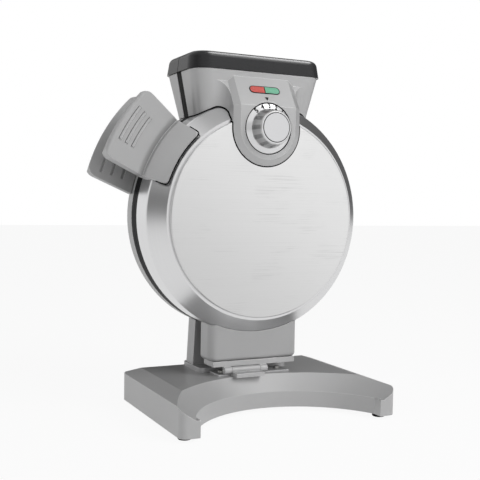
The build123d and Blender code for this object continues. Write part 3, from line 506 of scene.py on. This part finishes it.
# Cooking plates: cast aluminium with pegs that mould the waffle, seated on a ledge of
# the ring frames. Their non-stick coating is dark, baked on, and finely speckled.
coating_dark = (0.018, 0.018, 0.019)
coating_pale = (0.07, 0.068, 0.066)
coating_edge = 0.0005
coating_depth = 0.00005
non_stick, start = new_finish("non_stick")
fleck = speckle(start, 1500, 4.0)
bake = speckle(start, 30, 4.0)
close_finish(start, {
    "Base Color": tint(fleck * 0.5 + bake * 0.5, coating_dark, coating_pale),
    "Roughness": 0.3 + fleck * 0.2,
    "Normal": relief(fleck, coating_depth, soft_edge(start, coating_edge)),
})
dress(non_stick, "front_cooking_plate", "rear_cooking_plate")

# Heaters: steel tube round a coil, bent to an open ring that lies on the back of the
# cooking plate. Heat has darkened them in bands of blue and brown.
heat_blue = (0.13, 0.12, 0.15)
heat_brown = (0.38, 0.27, 0.18)
heat_steel, start = new_finish("heat_steel")
bands = speckle(start, 60, 5.0)
close_finish(start, {
    "Base Color": tint(bands, heat_blue, heat_brown),
    "Metallic": 1.0,
    "Roughness": 0.35 + bands * 0.25,
})
dress(heat_steel, "front_heater", "rear_heater")

# Heat reflectors, screwed to the ring frames behind the heaters, and the thermal fuse
# clipped to the rear one: bright rolled aluminium with the mill's long lines.
sheet_dull = (0.6, 0.6, 0.61)
sheet_bright = (0.78, 0.78, 0.79)
mill_depth = 0.00001
rolled_sheet, start = new_finish("rolled_sheet")
mill = speckle(start, (1600, 1600, 12))
close_finish(start, {
    "Base Color": tint(mill, sheet_dull, sheet_bright),
    "Metallic": 1.0,
    "Roughness": 0.22 + mill * 0.14,
    "Normal": relief(mill, mill_depth),
})
dress(rolled_sheet, "front_reflector", "rear_reflector", "thermal_fuse")

# Rim of the hopper, in two halves: black ABS, moulded in a polished tool, with a faint
# waviness. The joint between the halves is a thin dark line.
rim_colour = (0.012, 0.012, 0.013)
joint_colour = (0.0, 0.0, 0.0)
joint_half = 0.0008
rim_edge = 0.0008
wave_depth = 0.0001
rim_black, start = new_finish("rim_black")
wave = speckle(start, 90, 1.0)
dust = speckle(start, 1200)
joint = abs(on_body(start).parts()[1]) < joint_half
close_finish(start, {
    "Base Color": tint(joint, rim_colour, joint_colour),
    "Metallic": joint,
    "Roughness": 0.24 + dust * 0.1,
    "Specular IOR Level": 0.3,
    "Normal": relief(wave, wave_depth, soft_edge(start, rim_edge)),
})
dress(rim_black, "front_rim", "rear_rim")


# Lenses over the lamps: clear tinted plastic with fine level ribs inside, red on the left
# and green on the right. Each is held in the pod's window by a flange behind the wall.
def tinted_lens(name, deep, pale):
    """A ribbed, tinted lens, with a faint painted glow as if its lamp were lit."""
    rib_pitch = 0.0011
    rib_depth = 0.00005
    rib_share = 0.45
    cloud_share = 0.55
    material, start = new_finish(name)
    height = on_body(start).parts()[2]
    rib = (height * (2 * math.pi / rib_pitch)).math("SINE") * 0.5 + 0.5
    cloud = speckle(start, (160, 160, 400))
    colour = tint(rib * rib_share + cloud * cloud_share, deep, pale)
    close_finish(start, {
        "Base Color": colour,
        "Roughness": 0.12 + cloud * 0.08,
        "Coat Weight": 0.3,
        "Emission Color": colour,
        "Emission Strength": 0.12,
        "Normal": relief(rib, rib_depth),
    })
    return material


dress(tinted_lens("red_lens", (0.38, 0.02, 0.01), (0.62, 0.04, 0.02)), "red_lens")
dress(tinted_lens("green_lens", (0.04, 0.27, 0.14), (0.17, 0.52, 0.34)), "green_lens")

# Indicator board behind the lenses: green solder mask with paler copper tracks under it.
# Its two lamps are cast in milky epoxy.
mask_green = (0.03, 0.2, 0.08, 1)
mask_pale = (0.04, 0.26, 0.1, 1)
track_green = (0.2, 0.35, 0.12, 1)
board_green, start = new_finish("board_green")
tracks = start.node("ShaderNodeTexBrick", {}, {
    "Vector": on_body(start), "Scale": 220.0, "Mortar Size": 0.02,
    "Color1": mask_green, "Color2": mask_pale, "Mortar": track_green,
})
close_finish(start, {"Base Color": tracks, "Roughness": 0.3})
dress(board_green, "indicator_board")
epoxy_dull = (0.72, 0.72, 0.68)
epoxy_bright = (0.9, 0.9, 0.86)
lamp_epoxy, start = new_finish("lamp_epoxy")
milk = speckle(start, 500)
close_finish(start, {"Base Color": tint(milk, epoxy_dull, epoxy_bright), "Roughness": 0.15 + milk * 0.1})
dress(lamp_epoxy, "indicator_lamps")

# Dial: one ABS moulding of skirt and fluted grip in bright satin silver, with a round
# face of spun aluminium pressed into it. Painted shade darkens its grip, the groove round
# its face and its twelve flutes towards the skirt, and a painted reflection crosses the skirt.
dial_centre_z = 0.285
face_groove_radius = 0.0147
grip_top_radius = 0.0153
flute_top = (0.0160, 0.0172)
grip_root = (0.0193, 0.0199)
flute_count = 12.0
flute_wave = (-0.2, 0.5)
flute_darkness = (0.12, 0.62)
grip_darkness = 0.25
painted_shade_share = 0.9
skirt_middle = 0.001
skirt_band = (0.0015, 0.007)
skirt_darkness = 0.3


def dial_shade(start):
    """Painted shade in the groove round the face, over the grip and down the flutes, and a painted reflection across
    the skirt's middle.
    """
    across, _, height = on_body(start).parts()
    rise = height - dial_centre_z
    radius = radius_about(start, dial_centre_z)
    turn = rise.math("ARCTAN2", across)
    flute = smooth_step((turn * flute_count).math("COSINE"), *flute_wave, *flute_darkness)
    low = smooth_step(radius, *flute_top, 0.0, 1.0)
    grip = (radius > grip_top_radius) * smooth_step(radius, *grip_root, 1.0, 0.0)
    skirt = radius > grip_root[1]
    # A painted reflection: a dark band across the skirt's middle.
    band = smooth_step(abs(rise - skirt_middle), *skirt_band, skirt_darkness, 0.0)
    groove = radius < face_groove_radius
    return groove + grip * (grip_darkness + flute * low) * painted_shade_share + skirt * band


dial_silver = silver_paint("dial_silver", (0.74, 0.74, 0.745), metal=0.7, roughness=0.26, shaded=dial_shade)
dress(dial_silver, "dial_knob")
face_aluminium = spun_metal(
    "face_aluminium", dial_centre_z, (0.68, 0.68, 0.69),
    roughness=0.3, rings_to_metre=5000, ring_depth=0.00001, contrast=0.1,
)
dress(face_aluminium, "knob_face")

# Numbers 5 to 1, clockwise round the upper half of the dial's skirt, printed in dark grey
# ink. Each is laid on the skirt's cone.
number_count = 5
number_radius = 0.0220
number_height = 0.0043
number_pitch = 20
first_number_angle = -40
text_size_to_height = 1.4
ink_spread = 0.00026
ink_thickness = 0.0002
skirt_outer = (0.0247, -0.05955)
skirt_inner = (0.0194, -0.0620)
skirt_slope = (skirt_inner[1] - skirt_outer[1]) / (skirt_outer[0] - skirt_inner[0])
ink_dark = (0.006, 0.006, 0.006)
ink_pale = (0.02, 0.02, 0.02)
grey_ink, start = new_finish("grey_ink")
print_grain = speckle(start, 3000)
close_finish(start, {
    "Base Color": tint(print_grain, ink_dark, ink_pale),
    "Roughness": 0.6 + print_grain * 0.1,
    "Specular IOR Level": 0.1,
})
for index in range(number_count):
    digit = str(number_count - index)
    text = bpy.data.curves.new("number", "FONT")
    text.body = digit
    text.size = number_height * text_size_to_height
    text.align_x = "CENTER"
    text.align_y = "CENTER"
    text.extrude = ink_thickness / 2
    text.offset = ink_spread
    text_object = bpy.data.objects.new("number", text)
    mesh = bpy.data.meshes.new_from_object(text_object)
    bpy.data.objects.remove(text_object)
    middle = math.radians(first_number_angle + index * number_pitch)
    for vertex in mesh.vertices:
        along, out, proud = vertex.co
        radius = number_radius + out
        angle = middle + along / number_radius
        surface = skirt_outer[1] + (skirt_outer[0] - radius) * skirt_slope
        vertex.co = (radius * math.sin(angle), surface - proud, dial_centre_z + radius * math.cos(angle))
    mesh.materials.append(grey_ink)
    number = bpy.data.objects.new("dial_number_" + digit, mesh)
    add_to_scene(number)
    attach(number, "dial")

# Pointer: a small dark triangle, printed in the same ink on the pod's leaning face, just
# above the dial.
crease_z = 0.3072
face_y = -0.060
face_lean = math.radians(31.5)
pointer_z = 0.3162
pointer_half = 0.0022
pointer_drop = 0.0043


def on_leaning_face(from_z, across, rise, lift):
    """A point on the pod's leaning face, or lifted off it, measured up it from a height."""
    z = from_z + rise * math.cos(face_lean)
    back = face_y + (z - crease_z) * math.tan(face_lean)
    return across, back - lift * math.cos(face_lean), z + lift * math.sin(face_lean)


pointer_mesh = bpy.data.meshes.new("dial_pointer")
pointer_mesh.from_pydata(
    [
        on_leaning_face(pointer_z, across, rise, lift)
        for lift in (-ink_thickness, ink_thickness / 2)
        for across, rise in ((-pointer_half, 0), (pointer_half, 0), (0, -pointer_drop))
    ],
    [], [(0, 1, 2), (5, 4, 3), (0, 3, 4, 1), (1, 4, 5, 2), (2, 5, 3, 0)],
)
pointer_mesh.materials.append(grey_ink)
pointer = bpy.data.objects.new("dial_pointer", pointer_mesh)
add_to_scene(pointer)
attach(pointer, "door")


# Round the pod: a dark bead put into the gap between the shell and the control housing,
# as painted shade. It runs from the parting below the hopper, down round the pod and up
# to the parting on the other side.
def shade_bead(name, points, radius, closed=False, body="door"):
    """A dark bead along a line of points, put in a gap as painted shade."""
    curve = bpy.data.curves.new(name, "CURVE")
    curve.dimensions = "3D"
    curve.bevel_depth = radius
    curve.bevel_resolution = 2
    curve.use_fill_caps = not closed
    line = curve.splines.new("POLY")
    line.points.add(len(points) - 1)
    for place, point in zip(line.points, points):
        place.co = (*point, 1)
    line.use_cyclic_u = closed
    curve_object = bpy.data.objects.new(name, curve)
    mesh = bpy.data.meshes.new_from_object(curve_object)
    bpy.data.objects.remove(curve_object)
    mesh.materials.clear()
    mesh.materials.append(shade_line_black)
    for polygon in mesh.polygons:
        polygon.use_smooth = True
    bead_object = bpy.data.objects.new(name, mesh)
    add_to_scene(bead_object)
    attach(bead_object, body)


# The beads' finish: near black, as painted shade in the gaps.
shade_line_dark = (0.002, 0.002, 0.002)
shade_line_pale = (0.006, 0.006, 0.006)
shade_line_grain_depth = 0.00003
shade_line_black, start = new_finish("shade_line_black")
grain = speckle(start, 2000)
close_finish(start, {
    "Base Color": tint(grain, shade_line_dark, shade_line_pale),
    "Roughness": 0.5 + grain * 0.2,
    "Specular IOR Level": 0.05,
    "Normal": relief(grain, shade_line_grain_depth),
})

# The shell, the pod and the hopper where the dark bead meets them. Depths run forwards
# from the parting.
shell_radius = 0.118
wall_depth = 0.036
bezel_radius = 0.103
bezel_depth = 0.052
disc_radius = 0.1001
disc_depth = 0.0559
bezel_rate = (bezel_depth - wall_depth) / (shell_radius - bezel_radius)
pod_half_width = 0.0368
pod_fillet = 0.012
pod_side_steps = 12
pod_round_steps = 48
hopper_top_z = 0.3422
hopper_half_width = 0.0716
hopper_half_depth = 0.0429
hopper_width_slope = 0.2
hopper_depth_slope = 0.19
hopper_corner = 0.017
hollow_turn = 80
stretch_steps = 12
first_height = 0.3
height_rounds = 6
strip_front = 0.005
pod_shade_line_radius = 0.0008
pod_shade_line_gap = 0.0004
pod_shade_line_sink = 0.0002


def face_depth(radius):
    """The depth of the front shell or the disc at a distance from the axis."""
    if radius < disc_radius:
        return disc_depth
    return min(bezel_depth, wall_depth + (shell_radius - radius) * bezel_rate)


def shell_height(across, depth):
    """The height of the shell's outside above a point of the plan."""
    radius = shell_radius + pod_shade_line_gap - max(0, depth - wall_depth) / bezel_rate
    return shell_centre_z + math.sqrt(radius * radius - across * across)


def round_pod_fillet(share, width, depth):
    """Along the hollow fillet between the pod's flank and the hopper's front."""
    turn = math.radians(hollow_turn * share)
    return pod_half_width + pod_fillet * (1 - math.cos(turn)), depth + pod_fillet * (1 - math.sin(turn))


def round_hopper_corner(share, width, depth):
    """Along the corner between the hopper's front and its side."""
    turn = math.radians(90 - hollow_turn + hollow_turn * share)
    return width - hopper_corner * (1 - math.sin(turn)), depth - hopper_corner * (1 - math.cos(turn))


def along_hopper_side(share, width, depth):
    """Along the hopper's side, back to the strip at the parting."""
    return width, depth - hopper_corner + (strip_front + hopper_corner - depth) * share


def under_hopper():
    """The line where the hopper's right half meets the shell, from the pod to the strip."""
    points = []
    for stretch in (round_pod_fillet, round_hopper_corner, along_hopper_side):
        for step in range(stretch_steps + 1):
            # The hopper tapers, so its width depends on the height that is sought.
            z = first_height
            for _ in range(height_rounds):
                width = hopper_half_width - (hopper_top_z - z) * hopper_width_slope
                depth = hopper_half_depth - (hopper_top_z - z) * hopper_depth_slope
                across, back = stretch(step / stretch_steps, width, depth)
                z = shell_height(across, back)
            points.append((across, -back, z))
    return points


def beside_pod(across, z):
    """A point on the shell or the disc beside the pod."""
    return across, -face_depth(math.hypot(across, z - shell_centre_z)) + pod_shade_line_sink, z


pod_line_radius = pod_half_width + pod_shade_line_gap
hopper_line = under_hopper()
side_top_z = hopper_line[0][2]
side_line = [
    beside_pod(pod_line_radius, dial_centre_z + (side_top_z - dial_centre_z) * step / pod_side_steps)
    for step in range(pod_side_steps)
]
round_line = []
for step in range(1, pod_round_steps):
    turn = math.pi * step / pod_round_steps
    round_line.append(beside_pod(pod_line_radius * math.cos(turn), dial_centre_z - pod_line_radius * math.sin(turn)))
right_line = side_line + hopper_line
left_line = [(-x, y, z) for x, y, z in right_line]
shade_bead("pod_shade_line", right_line[::-1] + round_line + left_line, pod_shade_line_radius)

# Along the flange: a finer dark bead at the front edge of the flange by which the front
# handle sits on the shell, as painted shade in the gap. The flange's long edge follows
# the shell, and its sides splay out.
flange_radius = 0.1065
flange_end = 0.1165
flange_half = 0.0305
flange_corner = 0.005
flange_direction = math.radians(147.2)
flange_splays = ((-1, 0.0642), (1, 0.1597))
flange_front = 0.05147
flange_fall = 0.734
flange_shade_line_radius = 0.0006
flange_shade_line_gap = 0.0004
flange_side_steps = 5
flange_corner_steps = 6
flange_arc_steps = 12


def round_flange(turn):
    """A point on the flange's long edge, along and across the flange."""
    return flange_radius * math.cos(turn), flange_radius * math.sin(turn)


def flange_half_line(side, splay):
    """Half of the flange's edge, from its outer end round a corner to its middle."""
    points = []
    corner_turn = side * math.asin(flange_half / flange_radius)
    corner = round_flange(corner_turn)
    outer = math.sqrt(flange_end ** 2 - flange_half ** 2)
    for step in range(flange_side_steps + 1):
        along = outer + (corner[0] + flange_corner - outer) * step / flange_side_steps
        points.append((along, side * (flange_half + (along - flange_radius) * splay)))
    side_end = points[-1]
    arc_turn = corner_turn - side * flange_corner / flange_radius
    arc_start = round_flange(arc_turn)
    for step in range(1, flange_corner_steps):
        share = step / flange_corner_steps
        points.append(tuple(
            (1 - share) ** 2 * a + 2 * share * (1 - share) * b + share ** 2 * c
            for a, b, c in zip(side_end, corner, arc_start)
        ))
    points += [round_flange(arc_turn * (1 - step / flange_arc_steps)) for step in range(flange_arc_steps)]
    return points


upper_half, lower_half = (flange_half_line(side, splay) for side, splay in flange_splays)
flange_line = []
for along, sideways in upper_half + lower_half[::-1]:
    along, sideways = along - flange_shade_line_gap, sideways * (1 + flange_shade_line_gap / flange_half)
    across = along * math.cos(flange_direction) - sideways * math.sin(flange_direction)
    rise = along * math.sin(flange_direction) + sideways * math.cos(flange_direction)
    depth = flange_front - (math.hypot(across, rise) - flange_radius) * flange_fall
    flange_line.append((across, -depth + flange_shade_line_radius / 2, shell_centre_z + rise))
shade_bead("flange_shade_line", flange_line, flange_shade_line_radius)


# Round the dial: a dark ring in the gap between the pod and the dial's skirt, and a finer
# one round the knob's face that turns with the dial, both as painted shade in the gaps.
def ring_line(radius, depth):
    """Points round the axis of the dial."""
    steps = 72
    turns = [2 * math.pi * step / steps for step in range(steps)]
    return [(radius * math.sin(turn), -depth, dial_centre_z + radius * math.cos(turn)) for turn in turns]


skirt_shade_line_radius = 0.0006
face_shade_line_radius = 0.0004
skirt_gap_ring = ring_line(radius=0.02515, depth=0.0594)
face_groove_ring = ring_line(radius=0.0142, depth=0.0766)
shade_bead("skirt_shade_line", skirt_gap_ring, skirt_shade_line_radius, closed=True)
shade_bead("knob_face_shade_line", face_groove_ring, face_shade_line_radius, closed=True, body="dial")

# Round the lenses: a thin dark bead round the window of the two lenses, and one between
# them, as painted shade in the gaps. Both lie on the pod's leaning face.
window_z = 0.3237
window_half = 0.0165
window_round = 0.004
window_steps = 12
lens_shade_line_radius = 0.0005
lens_shade_line_lift = 0.0002
lens_gap_shade_radius = 0.00045
lens_gap_shade_lift = 0.0004
window_line = []
for end in (1, -1):
    for step in range(window_steps + 1):
        turn = math.pi * step / window_steps - math.pi / 2
        across = end * (window_half - window_round + window_round * math.cos(turn))
        rise = end * window_round * math.sin(turn)
        window_line.append(on_leaning_face(window_z, across, rise, lens_shade_line_lift))
shade_bead("lens_shade_line", window_line, lens_shade_line_radius, closed=True)
lens_gap_shade_points = [on_leaning_face(window_z, 0, rise, lens_gap_shade_lift) for rise in (-window_round, window_round)]
shade_bead("lens_gap_shade_line", lens_gap_shade_points, lens_gap_shade_radius)
